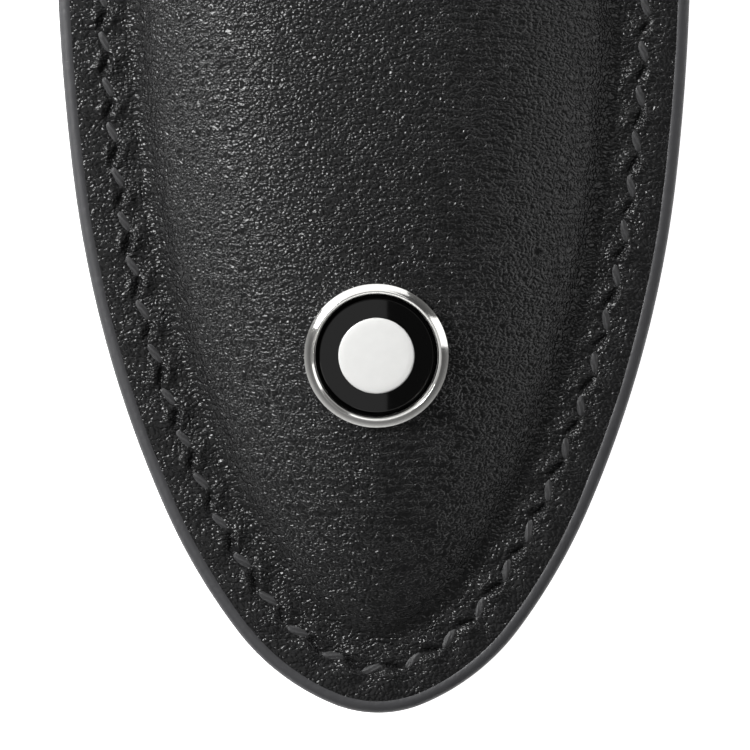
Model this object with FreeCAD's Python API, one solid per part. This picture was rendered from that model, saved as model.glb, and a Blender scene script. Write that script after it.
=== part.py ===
"""Soft leather case for one fountain pen: a stitched pocket with a tapering tip and a folding flap.

The case lies on its back. X is its width, Y its length with the tip at the low end, Z its thickness.
Distances along the case are measured from the tip and turned into Y by along(). Millimetres.
"""

import FreeCAD, Part
import math
import os

Vector = FreeCAD.Vector

# The pen, lying in the pocket
pen_diameter = 13.2
pen_clearance = 0.8

# Outline of the stitched pocket: (radius, turn in degrees) of each arc on one side, from the tip
tip_arcs = [(8.4, 22.5), (16.4, 30.5), (42.8, 13.2), (83.2, 17.05), (166.0, 6.75)]
pocket_length = 156.0
scoop_depth = 3.0

# Layers
leather = 1.2
interlining = 0.3
lining = 0.4

# Stitched rim and the swell of both panels inside it
flange_width = 4.8
front_rise = 6.6
swell_power = 2.6
swell_centre = 38.0
layer_step_in = 0.4
front_levels = [1.0, 0.96, 0.88, 0.76, 0.62, 0.48, 0.34, 0.2, 0.08]
back_steps = 5
interlining_step_in = 3.0

# Flap
flap_half_width = 12.0
flap_drop = 49.0
flap_gap = 0.3
mouth_gap = 1.2
stiffener_inset = 4.2

# Seams
seam_inset = 3.3
stitch_pitch = 3.22
thread_length = 2.3
thread_width = 0.7
thread_height = 0.3
thread_turn = 16.0
edge_seam_inset = 2.4
mouth_seam_share = 0.8

# Facing strip inside the mouth
facing_depth = 8.0

# Magnets of the closure
magnet_radius = 4.0
magnet_height = 0.8
magnet_from_flap_tip = 9.5
magnet_clearance = 0.1
stiffener_magnet_gap = 1.0

# Round badge near the tip
badge_from_tip = 25.5
badge_radius = 5.1
badge_wall = 0.72
badge_sink = 0.25
badge_floor = 0.25
badge_stand = 0.7
disc_height = 0.4
disc_clearance = 0.03
inlay_radius = 2.7
inlay_depth = 0.15
post_radius = 0.6
post_spacing = 5.0
post_clearance = 0.02
washer_radius = 4.4
washer_clearance = 0.05

# Worked out from the sizes above
cavity_height = pen_diameter + pen_clearance
back_rise = cavity_height + 2 * interlining - front_rise
flap_thickness = leather + lining
fold_out = pocket_length + mouth_gap + flap_thickness
tongue_height = leather + interlining + lining
overall_length = fold_out + thread_height
rim_bottom = back_rise
rim_middle = rim_bottom + leather + lining
rim_top = rim_middle + lining + leather
crest = rim_top + front_rise
far = 400.0


def along(distance):
    """Y of a distance from the tip; the origin is halfway along the whole case."""
    return distance - overall_length / 2


def side_half_width(inset):
    """Half width of the straight sides, the sum of the arcs' steps in X."""
    heading, x = 0.0, 0.0
    for radius, turn in tip_arcs:
        after = heading + math.radians(turn)
        x += (radius - inset) * (math.sin(after) - math.sin(heading))
        heading = after
    return x


def arc_chain(tip, inset, scale, z):
    """Edges of the right-hand arcs from the tip up to the straight side, and their last point. An arc that
    the inset uses up has no edge, and the next one starts where it crosses the centre line."""
    heading, x, s = 0.0, 0.0, tip
    edges = []
    for radius, turn in tip_arcs:
        r = scale * (radius - inset)
        after = heading + math.radians(turn)
        corner = (x - r * math.sin(heading), s + r * math.cos(heading))
        past_centre = corner[0] + r * math.sin(after) > 0
        if past_centre:
            first = math.asin(-corner[0] / r) if x < 0 else heading
            angles = (first, (first + after) / 2, after)
            points = [(corner[0] + r * math.sin(a), corner[1] - r * math.cos(a)) for a in angles]
            edges.append([Vector(px, along(ps), z) for px, ps in points])
        x, s = corner[0] + r * math.sin(after), corner[1] - r * math.cos(after)
        heading = after
    return edges, (x, s)


def u_wire(tip, inset, scale, end, z):
    """Closed outline at height z: arcs round the tip, straight sides and a straight end."""
    right, (x, s) = arc_chain(tip, inset, scale, z)
    edges = [Part.Arc(*points).toShape() for points in right]
    side, top = Vector(x, along(s), z), Vector(x, along(end), z)
    edges.append(Part.LineSegment(side, top).toShape())
    flip = [Vector(-p.x, p.y, p.z) for p in (side, top)]
    edges.append(Part.LineSegment(top, flip[1]).toShape())
    edges.append(Part.LineSegment(flip[1], flip[0]).toShape())
    for points in reversed(right):
        mirrored = [Vector(-p.x, p.y, p.z) for p in reversed(points)]
        edges.append(Part.Arc(*mirrored).toShape())
    return Part.Wire(edges)


def prism(wire, height):
    return Part.Face(wire).extrude(Vector(0, 0, height))


def slab(x0, x1, s0, s1, z0, z1):
    box = Part.makeBox(x1 - x0, s1 - s0, z1 - z0)
    box.translate(Vector(x0, along(s0), z0))
    return box


def swell(inset, base, top, levels):
    """Pillow over the outline stepped in by inset. Level m is that outline scaled by m about the swell's
    centre, and its height is base + (top - base) (1 - m to swell_power)."""
    wires = []
    for m in levels:
        tip = swell_centre - m * (swell_centre - inset)
        z = base + (top - base) * (1 - m**swell_power)
        wires.append(u_wire(tip, inset, m, fold_out + mouth_gap, z))
    return Part.makeLoft(wires, True, False)


def front_swell(depth, base=None):
    """The front panel's pillow, depth below its outer face (negative is above it)."""
    base = rim_top - depth if base is None else base
    return swell(flange_width + layer_step_in * depth, base, crest - depth, front_levels)


def back_swell(depth, base):
    """The back panel's pillow, which ends in a flat as wide as the flap."""
    flat = flap_half_width / side_half_width(flange_width)
    levels = [1 - (1 - flat) * k / back_steps for k in range(back_steps + 1)]
    inset = flange_width + layer_step_in * depth
    full_depth = (base - depth) / (1 - flat**swell_power)
    return swell(inset, base, base - full_depth, levels)


def rim_plate(z0, z1):
    return prism(u_wire(0, 0, 1, pocket_length, z0), z1 - z0)


def cut_at_mouth(solid):
    """Trims a front layer at the mouth, with the shallow scoop that lets a finger reach the pen."""
    width = 2 * side_half_width(flange_width)
    radius = (width**2 / 4 + scoop_depth**2) / (2 * scoop_depth)
    scoop = Part.makeCylinder(radius, far, Vector(0, along(pocket_length) + radius - scoop_depth, -1))
    beyond = slab(-far, far, pocket_length, far, -1, far)
    inside = slab(-width / 2, width / 2, 0, far, -1, far)
    return solid.cut(beyond).cut(scoop.common(inside))


def seam_path(inset, tip=0.0, scale=1.0):
    """The line that runs inset inside an outline, on the right side: its arcs as (length, radius, centre,
    heading at the start), and the point where it turns straight."""
    runs = []
    heading, x, s = 0.0, 0.0, tip + inset
    for radius, turn in tip_arcs:
        r = scale * radius - inset
        centre = (x - r * math.sin(heading), s + r * math.cos(heading))
        runs.append((r * math.radians(turn), r, centre, heading))
        heading += math.radians(turn)
        x = centre[0] + r * math.sin(heading)
        s = centre[1] - r * math.cos(heading)
    return runs, (x, s)


def seam_point(path, distance):
    runs, (x, s) = path
    for length, r, centre, heading in runs:
        if distance <= length:
            angle = heading + distance / r
            return centre[0] + r * math.sin(angle), centre[1] - r * math.cos(angle), angle
        distance -= length
    return x, s + distance, math.pi / 2


def stitch():
    """One thread segment lying on z = 0 along X: a bar with round ends."""
    half, r = (thread_length - thread_width) / 2, thread_width / 2
    a, b = Vector(-half, -r, 0), Vector(half, -r, 0)
    c, d = Vector(half, r, 0), Vector(-half, r, 0)
    edges = [
        Part.LineSegment(a, b).toShape(),
        Part.Arc(b, Vector(half + r, 0, 0), c).toShape(),
        Part.LineSegment(c, d).toShape(),
        Part.Arc(d, Vector(-half - r, 0, 0), a).toShape(),
    ]
    return prism(Part.Wire(edges), thread_height)


def placed(shape, x, s, z, turn=0.0, tilt_axis=None, tilt=0.0):
    copy = shape.copy()
    rotation = FreeCAD.Rotation(Vector(0, 0, 1), turn)
    if tilt_axis is not None:
        rotation = FreeCAD.Rotation(tilt_axis, tilt).multiply(rotation)
    copy.Placement = FreeCAD.Placement(Vector(x, along(s), z), rotation)
    return copy


def stitches_along(path, end, height_at, tilt_at, turn):
    """Stitches on both sides of a path from its tip to end, each laid on the surface under it."""
    total = sum(run[0] for run in path[0]) + end - path[1][1] - stitch_pitch
    pieces = []
    for k in range(int(total / stitch_pitch) + 1):
        x, s, heading = seam_point(path, k * stitch_pitch)
        for side in (1, -1) if k else (1,):
            angle = side * math.degrees(heading) + turn
            seat = (side * x, s, height_at(side * x), angle)
            pieces.append(placed(stitch(), *seat, Vector(0, 1, 0), tilt_at(side * x)))
    return Part.makeCompound(pieces)


def perimeter_stitches(z, turn):
    return stitches_along(seam_path(seam_inset), pocket_length, lambda x: z, lambda x: 0.0, turn)


def swell_height(x, depth=0.0):
    """Height of the front panel's outer face over a point beside the straight part of the pocket."""
    m = abs(x) / side_half_width(flange_width + layer_step_in * depth)
    return rim_top - depth + front_rise * (1 - m**swell_power)


def swell_tilt(x, depth=0.0):
    """Slope of that face across the case, in degrees about +Y."""
    half = side_half_width(flange_width + layer_step_in * depth)
    slope = front_rise * swell_power * (abs(x) / half) ** (swell_power - 1) / half
    return math.copysign(math.degrees(math.atan(slope)), x)


def back_panel():
    outer = rim_plate(rim_bottom, rim_bottom + leather).fuse(back_swell(0, rim_bottom))
    shell = outer.cut(back_swell(leather, rim_bottom + leather))
    shell = shell.cut(slab(-far, far, pocket_length, far, -1, far))
    tongue = slab(-flap_half_width, flap_half_width, pocket_length, fold_out, 0, leather)
    return shell.fuse(tongue).removeSplitter()


def interlining_trim():
    inset = flange_width + interlining_step_in
    return prism(u_wire(inset, inset, 1, pocket_length - facing_depth, -1), far)


def back_interlining():
    base = rim_bottom + leather
    shell = back_swell(leather, base).cut(back_swell(leather + interlining, base))
    return shell.common(interlining_trim())


def back_lining():
    base = rim_bottom + leather
    deep = leather + interlining
    outer = rim_plate(base, rim_middle).fuse(back_swell(deep, base))
    shell = outer.cut(back_swell(deep + lining, rim_middle))
    shell = shell.cut(slab(-far, far, pocket_length, far, -1, far))
    half = flap_half_width
    tongue = slab(-half, half, pocket_length, fold_out, leather, tongue_height)
    return shell.fuse(tongue).removeSplitter()


def front_panel():
    outer = rim_plate(rim_top - leather, rim_top).fuse(front_swell(0))
    shell = cut_at_mouth(outer.cut(front_swell(leather))).removeSplitter()
    shell = cut_for_badge(shell).cut(magnet_pocket(crest - leather))
    return shell.cut(mouth_stitches())


def front_interlining():
    base = rim_top - leather
    shell = front_swell(leather).cut(front_swell(leather + interlining, base))
    shell = shell.common(interlining_trim())
    return shell.cut(badge_place(disc(washer_radius + washer_clearance, -far, -badge_sink)))


def front_lining_shell():
    """The front's lining layer from the tip to the mouth, which the facing strip finishes."""
    base = rim_top - leather
    deep = leather + interlining
    outer = rim_plate(rim_middle, base).fuse(front_swell(deep, base))
    return cut_at_mouth(outer.cut(front_swell(deep + lining, rim_middle)))


def facing_zone():
    return slab(-far, far, pocket_length - facing_depth, far, -1, far)


def front_lining():
    return cut_for_badge(front_lining_shell().cut(facing_zone()))


def mouth_facing():
    return front_lining_shell().common(facing_zone())


def badge_place(shape):
    """Sets a badge piece, drawn about z = 0 on the leather, on the sloping front."""
    reach = swell_centre - flange_width
    m = (swell_centre - badge_from_tip) / reach
    height = rim_top + front_rise * (1 - m**swell_power)
    slope = math.degrees(math.atan(front_rise * swell_power * m ** (swell_power - 1) / reach))
    return placed(shape, 0, badge_from_tip, height, 0, Vector(1, 0, 0), slope)


def disc(radius, z0, z1, x=0.0):
    return Part.makeCylinder(radius, z1 - z0, Vector(x, 0, z0))


def two_posts(radius, z0, z1):
    half = post_spacing / 2
    return disc(radius, z0, z1, -half).fuse(disc(radius, z0, z1, half))


def badge_bezel():
    """A cup with a standing wall, and two posts that go down through the leather."""
    bottom = -leather - interlining
    cup = disc(badge_radius, -badge_sink, badge_stand)
    cup = cup.cut(disc(badge_radius - badge_wall, badge_floor - badge_sink, far))
    return badge_place(cup.fuse(two_posts(post_radius, bottom, -badge_sink)))


def badge_disc():
    bottom = badge_floor - badge_sink
    body = disc(badge_radius - badge_wall - disc_clearance, bottom, bottom + disc_height)
    return badge_place(body.cut(disc(inlay_radius, bottom + disc_height - inlay_depth, far)))


def badge_inlay():
    top = badge_floor - badge_sink + disc_height
    return badge_place(disc(inlay_radius, top - inlay_depth, top))


def badge_washer():
    plate = disc(washer_radius, -leather - interlining, -leather)
    return badge_place(plate.cut(two_posts(post_radius + post_clearance, -far, far)))


def cut_for_badge(solid):
    """Room in a front layer for the badge's seat, its posts and its washer."""
    seat = badge_place(disc(badge_radius, -badge_sink, badge_stand))
    posts = badge_place(two_posts(post_radius + post_clearance, -leather - interlining, 0))
    room = washer_clearance
    washer = badge_place(disc(washer_radius + room, -leather - interlining - room, -leather))
    return solid.cut(seat).cut(posts).cut(washer)


def magnet_place():
    return fold_out - flap_drop + magnet_from_flap_tip


def magnet_pocket(z):
    radius = magnet_radius + magnet_clearance
    floor = Vector(0, along(magnet_place()), z - magnet_height)
    return Part.makeCylinder(radius, 2 * magnet_height, floor)


def magnet(z):
    return Part.makeCylinder(magnet_radius, magnet_height, Vector(0, along(magnet_place()), z))


def mouth_edge(x):
    """Distance from the tip of the scooped mouth edge at x."""
    half = side_half_width(flange_width)
    radius = (half**2 + scoop_depth**2) / (2 * scoop_depth)
    return pocket_length + radius - scoop_depth - math.sqrt(radius**2 - x**2)


def mouth_stitches():
    """A row of stitches below the mouth edge, sunk in the leather to half their height."""
    count = int(mouth_seam_share * side_half_width(flange_width) / stitch_pitch)
    pieces = []
    for k in range(-count, count + 1):
        x = k * stitch_pitch
        s = mouth_edge(x) - edge_seam_inset
        z = swell_height(x) - thread_height / 2
        pieces.append(placed(stitch(), x, s, z, 0, Vector(0, 1, 0), swell_tilt(x)))
    return Part.makeCompound(pieces)


def flap_outline(inset, end):
    """The flap's plan outline echoes the case's tip at the flap's own width."""
    scale = flap_half_width / side_half_width(0)
    tip = fold_out - flap_drop + inset
    return u_wire(tip, inset / scale, scale, end, -1)


def over_front(low, high, inset=0.0, end=None):
    """The layer of the flap from low to high above the front panel."""
    shell = front_swell(-high).cut(front_swell(-low))
    return shell.common(prism(flap_outline(inset, fold_out if end is None else end), far))


def flap_lining():
    return over_front(flap_gap, flap_gap + lining)


def flap_magnet_floor():
    return crest + flap_gap + lining


def flap_stiffener():
    """A thin board between the flap's magnet and the front fold."""
    low = flap_gap + lining
    layer = over_front(low, low + interlining, stiffener_inset, fold_out - stiffener_inset)
    start = magnet_place() + magnet_radius + stiffener_magnet_gap
    return layer.common(slab(-far, far, start, far, 0, far))


def flap_leather():
    whole = over_front(flap_gap + lining, flap_gap + flap_thickness)
    return whole.cut(flap_stiffener()).cut(magnet_pocket(flap_magnet_floor()))


def flap_stitches():
    scale = flap_half_width / side_half_width(0)
    path = seam_path(edge_seam_inset, fold_out - flap_drop, scale)
    depth = -flap_gap - flap_thickness
    return stitches_along(
        path, fold_out, lambda x: swell_height(x, depth), lambda x: swell_tilt(x, depth), thread_turn
    )


def spine_layer(s0, s1):
    """A strip of the flap that stands across the mouth, from the tongue up to the front's height."""
    half = flap_half_width
    low = slab(-half, half, s0, s1, tongue_height, rim_top)
    high = slab(-half, half, s0, s1, rim_top, far).common(front_swell(0))
    return low.fuse(high).removeSplitter()


def spine_stitches():
    """Two upright rows on the outside of the spine."""
    pieces = []
    x = flap_half_width - edge_seam_inset
    rise = swell_height(x) - tongue_height
    count = int(rise / stitch_pitch)
    for k in range(count):
        z = tongue_height + (rise - (count - 1) * stitch_pitch) / 2 + k * stitch_pitch
        for side in (1, -1):
            upright = placed(stitch(), side * x, fold_out, z, 90 + thread_turn, Vector(1, 0, 0), -90)
            pieces.append(upright)
    return Part.makeCompound(pieces)


def export(name, shape):
    shape.exportStep("parts/" + name + ".step")
    print(name, shape.isValid(), round(shape.Volume, 1), len(shape.Solids), len(shape.Faces))


pieces_of_the_case = {
    "back_panel": back_panel,
    "back_interlining": back_interlining,
    "back_lining": back_lining,
    "front_panel": front_panel,
    "front_interlining": front_interlining,
    "front_lining": front_lining,
    "mouth_facing": mouth_facing,
    "mouth_stitches": mouth_stitches,
    "seam_stitches_front": lambda: perimeter_stitches(rim_top, thread_turn),
    "seam_stitches_back": lambda: perimeter_stitches(rim_bottom - thread_height, -thread_turn),
    "catch_magnet": lambda: magnet(crest - leather),
    "emblem_bezel": badge_bezel,
    "emblem_disc": badge_disc,
    "emblem_inlay": badge_inlay,
    "emblem_washer": badge_washer,
    "spine_leather": lambda: spine_layer(fold_out - leather, fold_out),
    "spine_lining": lambda: spine_layer(fold_out - flap_thickness, fold_out - leather),
    "spine_stitches": spine_stitches,
    "flap_leather": flap_leather,
    "flap_lining": lambda: over_front(flap_gap, flap_gap + lining),
    "flap_stiffener": flap_stiffener,
    "flap_magnet": lambda: magnet(flap_magnet_floor()),
    "flap_stitches": flap_stitches,
}

os.makedirs("parts", exist_ok=True)
for name, make in pieces_of_the_case.items():
    shape = make()
    shape.exportStep("parts/" + name + ".step")
    box = shape.BoundBox
    size = (round(box.XLength, 2), round(box.YLength, 2), round(box.ZMin, 2), round(box.ZMax, 2))
    print(name, shape.isValid(), len(shape.Solids), round(shape.Volume, 2), size)
print("half width", round(side_half_width(0), 3), "fold at", round(along(fold_out), 3))
print("tongue", round(tongue_height, 3), "rim", round(rim_bottom, 3), round(rim_top, 3), "crest", crest)
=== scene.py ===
import math

import bmesh
import bpy
import numpy as np
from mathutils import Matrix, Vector


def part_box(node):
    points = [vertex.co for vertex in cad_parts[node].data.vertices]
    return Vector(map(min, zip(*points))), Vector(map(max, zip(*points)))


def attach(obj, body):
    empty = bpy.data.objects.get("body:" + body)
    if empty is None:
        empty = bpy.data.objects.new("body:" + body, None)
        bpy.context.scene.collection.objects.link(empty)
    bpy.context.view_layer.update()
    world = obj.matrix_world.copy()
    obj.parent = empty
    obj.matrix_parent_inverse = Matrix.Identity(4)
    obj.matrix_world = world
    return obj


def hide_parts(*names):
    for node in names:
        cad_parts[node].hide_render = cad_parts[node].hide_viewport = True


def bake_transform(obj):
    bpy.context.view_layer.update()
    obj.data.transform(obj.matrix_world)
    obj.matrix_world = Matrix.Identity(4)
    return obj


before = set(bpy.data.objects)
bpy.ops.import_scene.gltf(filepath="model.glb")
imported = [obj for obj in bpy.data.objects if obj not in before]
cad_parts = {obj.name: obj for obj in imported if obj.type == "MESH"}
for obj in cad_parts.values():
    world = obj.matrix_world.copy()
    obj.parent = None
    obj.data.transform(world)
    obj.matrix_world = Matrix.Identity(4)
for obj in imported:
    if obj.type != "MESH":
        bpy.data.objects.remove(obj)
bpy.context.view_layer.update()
mm = 0.001


def ends(node):  # lowest and highest corner of a construction piece, in millimetres
    low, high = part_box(node)
    return np.array(low) / mm, np.array(high) / mm


panelLow, panelHigh = ends("front_panel")
spineHigh = ends("spine_leather")[1]
flapLow = ends("flap_leather")[0]

# All sizes are in millimetres, and distances along the case are from its tip.
case = {
    "tipArcs": [(8.4, 22.5), (16.4, 30.5), (42.8, 13.2), (83.2, 17.05), (166.0, 6.75)],  # radius, degrees
    "leather": 1.2,
    "board": 0.3,
    "lining": 0.4,
    "rimTop": 11.2,
    "rimBottom": 8.0,
    "flange": 4.8,  # flat stitched margin
    "stepIn": 0.4,  # a deeper layer's swell starts this much further in, per mm of depth
    "swellPower": 2.6,
    "swellCentre": 38.0,  # the swell's rows round the tip shrink towards this point
    "scoop": 3.0,  # depth of the hollow in the front's mouth edge
    "flapGap": 0.3,
}
tipY = panelLow[1]
mouth = panelHigh[1] - tipY
foldOut = spineHigh[1] - tipY
flapTip = flapLow[1] - tipY
flapHalf = spineHigh[0]
rimTop = case["rimTop"]
rimBottom = case["rimBottom"]
rimMiddle = (rimTop + rimBottom) / 2
crest = panelHigh[2]
half = panelHigh[0]
swellHalf = half - case["flange"]


def smooth(t):  # 0 to 1 with flat ends
    t = np.clip(t, 0, 1)
    return t * t * (3 - 2 * t)


def bell(t):
    return np.exp(-t * t)


def wobble(a, b, seed):  # smooth pattern from a few sines of uneven length, about -1 to 1
    turn = np.random.default_rng(seed).uniform(0, 2 * math.pi, 6)
    return (
        np.sin(1.0 * a + 0.6 * b + turn[0])
        + np.sin(-0.55 * a + 1.13 * b + turn[1])
        + 0.7 * np.sin(1.9 * a - 1.3 * b + turn[2])
        + 0.7 * np.sin(0.8 * a + 2.3 * b + turn[3])
        + 0.4 * np.sin(3.1 * a + 1.7 * b + turn[4])
        + 0.4 * np.sin(-2.3 * a + 3.3 * b + turn[5])
    ) / 4.2


def meshPiece(name, points, faces, material, slotName, body=None, replaced=(), sharp=60, marks=None):
    # Points in mm and faces become one object at the origin. Doubles are merged and faces turned outwards.
    # Marks are extra values kept on the points for the material. Sharp is in degrees, and 0 is all smooth.
    mesh = bpy.data.meshes.new(name)
    mesh.from_pydata((np.asarray(points) * mm).tolist(), [], [list(map(int, f)) for f in faces])
    for key, values in (marks or {}).items():
        mesh.attributes.new(key, "FLOAT", "POINT").data.foreach_set("value", np.asarray(values, np.float32))
    work = bmesh.new()
    work.from_mesh(mesh)
    bmesh.ops.remove_doubles(work, verts=work.verts, dist=2e-7)
    bmesh.ops.dissolve_degenerate(work, edges=work.edges, dist=1e-8)
    bmesh.ops.recalc_face_normals(work, faces=work.faces)
    work.to_mesh(mesh)
    work.free()
    mesh.polygons.foreach_set("use_smooth", np.ones(len(mesh.polygons), bool))
    if sharp:
        mesh.set_sharp_from_angle(angle=math.radians(sharp))
    mesh.materials.append(material)
    piece = bpy.data.objects.new(name, mesh)
    bpy.context.scene.collection.objects.link(piece)
    if body:
        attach(piece, body)
    if replaced:
        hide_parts(*replaced)
    return piece


def gridFaces(rows, columns, start=0, closed=False):  # quads of a grid stored row by row
    r = np.arange(rows if closed else rows - 1)
    c = np.arange(columns - 1)
    a = (r[:, None] * columns + c).ravel() + start
    b = (((r + 1) % rows)[:, None] * columns + c).ravel() + start
    return np.stack([a, a + 1, b + 1, b], 1).tolist()


def stripFaces(first, second, firstX, secondX):
    # Triangles between two lines of points that both run the same way, taken in order of their x.
    faces = []
    i = 0
    j = 0
    while i < len(first) - 1 or j < len(second) - 1:
        if j == len(second) - 1 or (i < len(first) - 1 and firstX[i + 1] <= secondX[j + 1]):
            faces.append([first[i], first[i + 1], second[j]])
            i += 1
        else:
            faces.append([first[i], second[j + 1], second[j]])
            j += 1
    return faces


def outline(end, spacing, scale=1.0, tip=0.0):
    # Columns round a U from its left end over the tip to its right end: the arcs of the chain, then
    # straight. Each has its side, heading, x, distance from the tip and run along the outline.
    arcs = [(r * scale, math.radians(t)) for r, t in case["tipArcs"]]
    starts, heads, centres = [0.0], [0.0], []
    x, s = 0.0, tip
    for r, t in arcs:
        centres.append((x - r * math.sin(heads[-1]), s + r * math.cos(heads[-1])))
        heads.append(heads[-1] + t)
        starts.append(starts[-1] + r * t)
        x = centres[-1][0] + r * math.sin(heads[-1])
        s = centres[-1][1] - r * math.cos(heads[-1])
    run = spacing(starts[-1] + end - s)
    which = np.clip(np.searchsorted(starts, run, side="right") - 1, 0, len(arcs))
    r = np.array([a[0] for a in arcs] + [1.0])[which]
    straight = which == len(arcs)
    head = np.where(straight, math.pi / 2, np.array(heads)[which] + (run - np.array(starts)[which]) / r)
    cx = np.array([c[0] for c in centres] + [0.0])[which]
    cs = np.array([c[1] for c in centres] + [0.0])[which]
    px = np.where(straight, x, cx + r * np.sin(head))
    ps = np.where(straight, s + run - starts[-1], cs - r * np.cos(head))
    side = np.concatenate([-np.ones(len(run) - 1), np.ones(len(run))])

    def both(v):  # the right side's values, mirrored for the left
        return np.concatenate([v[:0:-1], v])

    return {
        "side": side,
        "head": both(head),
        "x": both(px),
        "s": both(ps),
        "run": both(run) * side,
        "arcsEnd": s,
        "end": end,
    }


def runAt(columns, inset):  # signed length along the line that lies inset inside the outline
    return columns["run"] - inset * columns["head"] * columns["side"]


def layRow(columns, inset, level=1.0, centre=0.0, scooped=False):
    # The outline stepped in by inset and drawn towards the centre by level. Where the sides are straight a
    # row keeps its own distance from the tip more and more, and all of it at the end.
    x = columns["x"] - inset * np.sin(columns["head"])
    s = columns["s"] + inset * np.cos(columns["head"])
    hold = np.clip((columns["s"] - columns["arcsEnd"]) / (columns["end"] - columns["arcsEnd"]), 0, 1)
    s = centre + (s - centre) * (level + (1 - level) * hold)
    x = x * level
    if scooped:
        s = s - scoopDip(x) * hold**3
    return x * columns["side"], s


def scoopDip(x):  # how far the mouth edge is hollowed at x: a shallow arc over the swell's width
    deep = case["scoop"]
    radius = (swellHalf**2 + deep**2) / (2 * deep)
    return np.maximum(0, deep - radius + np.sqrt(radius**2 - np.minimum(np.abs(x), swellHalf) ** 2))


def insideOf(columns, x, s):  # how far a point lies inside the outline, along the column's normal
    across = (columns["x"] - x * columns["side"]) * np.sin(columns["head"])
    return across + (s - columns["s"]) * np.cos(columns["head"])


def stepping(fineEnd, fine, coarse):  # even fine steps along the outline, then even coarse ones
    def spacing(length):
        near = np.arange(0, min(fineEnd, length), fine)
        count = max(2, int(round((length - near[-1]) / coarse)))
        return np.concatenate([near, np.linspace(near[-1], length, count + 1)[1:]])

    return spacing


# Each has the length over which its steps are fine, the fine step and the coarse step.
fineColumns = outline(mouth, stepping(64, 0.17, 0.28))
evenColumns = outline(mouth, stepping(64, 0.3, 0.3))
wideColumns = outline(mouth, stepping(60, 0.8, 1.6))
print("outline:", len(fineColumns["x"]), len(evenColumns["x"]), len(wideColumns["x"]), "columns")


# How the stitches lie along the rim and how they pull the leather.
seam = {
    "inset": 3.15,
    "pitch": 3.22,
    "driftPast": -0.9,  # the stitches to the right of the tip sit this much nearer to it
    "driftReach": 8.0,  # and the change is spread this far to either side of the tip
    "slitTurn": -27.0,  # awl slits, degrees from the seam
    "slitHalf": 0.62,
    "slitDepth": 0.22,
    "slitWidth": 0.12,
    "slitFade": 0.16,
    "groove": 0.09,
    "grooveWidth": 0.55,
    "lip": 0.155,
    "lipOut": 0.52,  # the lips' places outside and inside the slit
    "lipIn": 0.5,
    "lipWidth": 0.28,
    "lipPast": 0.5,  # how far the lips go on past the slit's ends
    "lipFade": 0.8,
    "pucker": 0.06,
    "puckerPlace": 1.0,
    "puckerWidth": 0.6,
    "crease": 0.055,  # soft wavy lines that run along both sides of the seam
    "creaseWidth": 0.13,
    "creaseIn": 0.62,
    "creaseInWave": 0.16,
    "creaseOut": 0.5,
    "creaseOutWave": 0.1,
    "shoulder": 0.04,
    "shoulderPlace": 1.2,
    "shoulderWidth": 0.6,
}


def seamBeat(along):  # counts stitches along the seam: whole numbers at stitches, halves at slits
    reach = seam["driftReach"]
    return (along - seam["driftPast"] * smooth((along + reach) / (2 * reach))) / seam["pitch"]


def seamRelief(depthIn, along):
    # Height over plain leather: a groove along the seam, a slanted slit between neighbouring stitches with
    # a raised lip on each side of it, puckers that fade away from the seam, a soft crease on both sides of
    # it and a low shoulder inside it.
    u = depthIn - seam["inset"]
    beat = seamBeat(along) - 0.5
    number = np.round(beat)
    v = (beat - number) * seam["pitch"]
    odd = 0.5 + 0.5 * np.sin(number * 12.9898) * np.cos(number * 4.1414)  # 0 to 1, differs from slit to slit
    angle = np.radians(seam["slitTurn"]) + 0.16 * (odd - 0.5)
    a = v * np.cos(angle) + u * np.sin(angle)  # along the slit
    b = -v * np.sin(angle) + u * np.cos(angle)  # across the slit
    reach = seam["slitHalf"] * (0.85 + 0.3 * odd)
    near = smooth((reach + seam["slitFade"] - np.abs(a)) / (2 * seam["slitFade"]))
    broad = smooth((reach + seam["lipPast"] - np.abs(a)) / seam["lipFade"])
    height = -seam["groove"] * bell(u / seam["grooveWidth"]) * (1 - 0.4 * broad)
    height = height - seam["slitDepth"] * near * bell(b / seam["slitWidth"])
    lips = bell((b + seam["lipOut"]) / seam["lipWidth"]) + 0.9 * bell((b - seam["lipIn"]) / seam["lipWidth"])
    height = height + seam["lip"] * (0.6 + 0.8 * odd) * broad * lips
    ripple = np.cos(2 * np.pi * (v + 0.6 * np.abs(u)) / seam["pitch"])
    height = height + seam["pucker"] * ripple * bell((np.abs(u) - seam["puckerPlace"]) / seam["puckerWidth"])
    wave = np.sin(2 * np.pi * (v + 0.5) / seam["pitch"])
    inner = bell((u - seam["creaseIn"] - seam["creaseInWave"] * wave) / seam["creaseWidth"])
    outer = bell((u + seam["creaseOut"] + seam["creaseOutWave"] * wave) / seam["creaseWidth"])
    height = height + seam["crease"] * (inner + 0.7 * outer)
    return height + seam["shoulder"] * bell((u - seam["shoulderPlace"]) / seam["shoulderWidth"])


def colour(code):  # sRGB hex to linear
    parts = [int(code[i : i + 2], 16) / 255 for i in (1, 3, 5)]
    return (*[c / 12.92 if c <= 0.04045 else ((c + 0.055) / 1.055) ** 2.4 for c in parts], 1)


def feed(tree, socket, value):  # links another node's output into a socket, or gives it a plain value
    if isinstance(value, bpy.types.NodeSocket):
        tree.links.new(value, socket)
    else:
        socket.default_value = value


def addNode(tree, kind, sockets=None, **settings):
    made = tree.nodes.new("ShaderNode" + kind)
    for key, value in settings.items():
        setattr(made, key, value)
    for key, value in (sockets or {}).items():
        feed(tree, made.inputs[key], value)
    return made


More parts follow.
